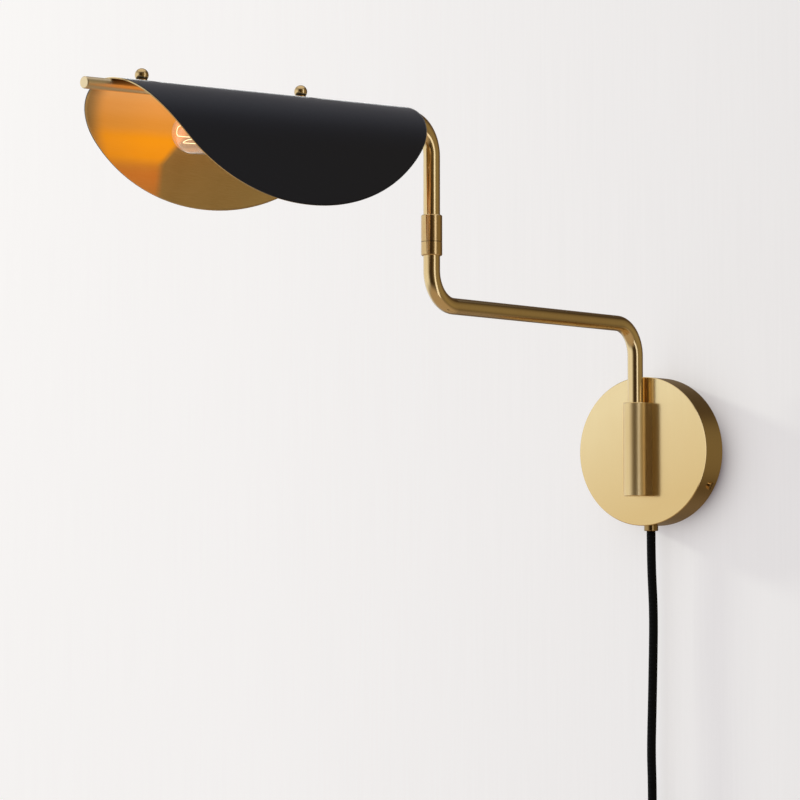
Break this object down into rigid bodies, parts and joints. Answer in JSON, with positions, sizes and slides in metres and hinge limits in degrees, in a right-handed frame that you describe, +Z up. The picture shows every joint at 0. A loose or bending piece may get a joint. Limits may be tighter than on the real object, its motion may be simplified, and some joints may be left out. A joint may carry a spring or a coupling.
{
  "type": "plug-in wall sconce",
  "caption": "Swing-arm wall light: round canopy, bent brass tube in two arms, oval sheet shade folded over a thin rod above a tubular bulb, with cord, in-line switch and plug.",
  "frame": {"origin": "centre of the wall plate's back face, on the wall", "axes": "+Z up, +Y into the wall, the room is at -Y, +X to the right seen from the room"},
  "size_m": [0.1652, 0.6478, 0.7839],
  "materials": {
    "satin_brass": "vertically brushed satin brass, lacquered",
    "turned_brass": "fine turned satin brass",
    "black_shade": "matt black paint outside, brushed brass inside",
    "zinc_steel": "zinc plated steel",
    "black_plastic": "fine matt moulded plastic",
    "black_rubber": "soft matt strain relief",
    "bronze_bush": "oiled sintered bronze",
    "nylon": "natural nylon",
    "black_braid": "woven black rayon braid",
    "wire_cover": "thin wire insulation",
    "connector_cap": "moulded cap",
    "porcelain": "glazed ceramic",
    "plain_brass": "plain stamped brass",
    "cap_metal": "rolled bulb cap",
    "dark_glass": "dark vitreous insulator",
    "bulb_glass": "clear glass, lit",
    "filament_wire": "glowing wire",
    "hook_tape": "woven strap"
  },
  "bodies": {
    "wall_base": {"wall_plate": "zinc_steel", "canopy": "satin_brass", "rim_screws": "turned_brass", "arm_holder": "satin_brass", "holder_bush": "bronze_bush", "thrust_washer": "nylon", "backing_plate": "zinc_steel", "holder_screws": "zinc_steel", "stop_screw": "zinc_steel", "cord_gland": "turned_brass", "gland_nut": "plain_brass", "inner_cord": "black_braid", "cord_clamp": "black_plastic", "clamp_screw": "zinc_steel", "wire_connectors": "connector_cap", "lead_wires": "wire_cover", "cord_drop": "black_braid", "switch_grommets": "black_rubber", "switch_base": "black_plastic", "switch_cover": "black_plastic", "switch_screws": "zinc_steel", "switch_core": "nylon", "cord_coil": "black_braid", "cord_tie": "hook_tape", "plug_relief": "black_rubber", "plug_body": "black_plastic", "plug_blades": "plain_brass"},
    "lower_arm": {"arm_tube": "satin_brass", "arm_foot": "turned_brass", "lower_collar": "turned_brass", "pivot_nipple": "plain_brass", "swivel_washer": "nylon", "swivel_pin": "zinc_steel", "wave_washer": "zinc_steel", "swivel_nut": "plain_brass"},
    "shade_arm": {"upper_collar": "turned_brass", "shade_tube": "satin_brass", "end_block": "satin_brass", "shade_rod": "satin_brass", "shade": "black_shade", "finials": "turned_brass", "finial_washers": "turned_brass", "socket_stem": "satin_brass", "stem_nut": "plain_brass", "socket_cup": "satin_brass", "lampholder_body": "porcelain", "screw_shell": "plain_brass", "centre_contact": "plain_brass", "bulb_contact": "cap_metal", "bulb_insulator": "dark_glass", "bulb_cap": "cap_metal", "bulb_glass": "bulb_glass", "bulb_stem": "bulb_glass", "filament": "filament_wire"},
    "rocker": {"switch_rocker": "black_plastic"}
  },
  "joints": [
    {"name": "arm_swing", "type": "hinge", "parent": "wall_base", "child": "lower_arm", "pos_m": [0, -0.0348, 0], "axis": [0, 0, 1], "range_deg": [-77, 83]},
    {"name": "shade_swing", "type": "hinge", "parent": "lower_arm", "child": "shade_arm", "pos_m": [-0.0135, -0.29245, 0.1479], "axis": [0, 0, 1], "range_deg": [-135, 134]},
    {"name": "rocker_tip", "type": "hinge", "parent": "wall_base", "child": "rocker", "pos_m": [0, -0.0166, -0.331], "axis": [1, 0, 0], "range_deg": [-18, 0]}
  ]
}
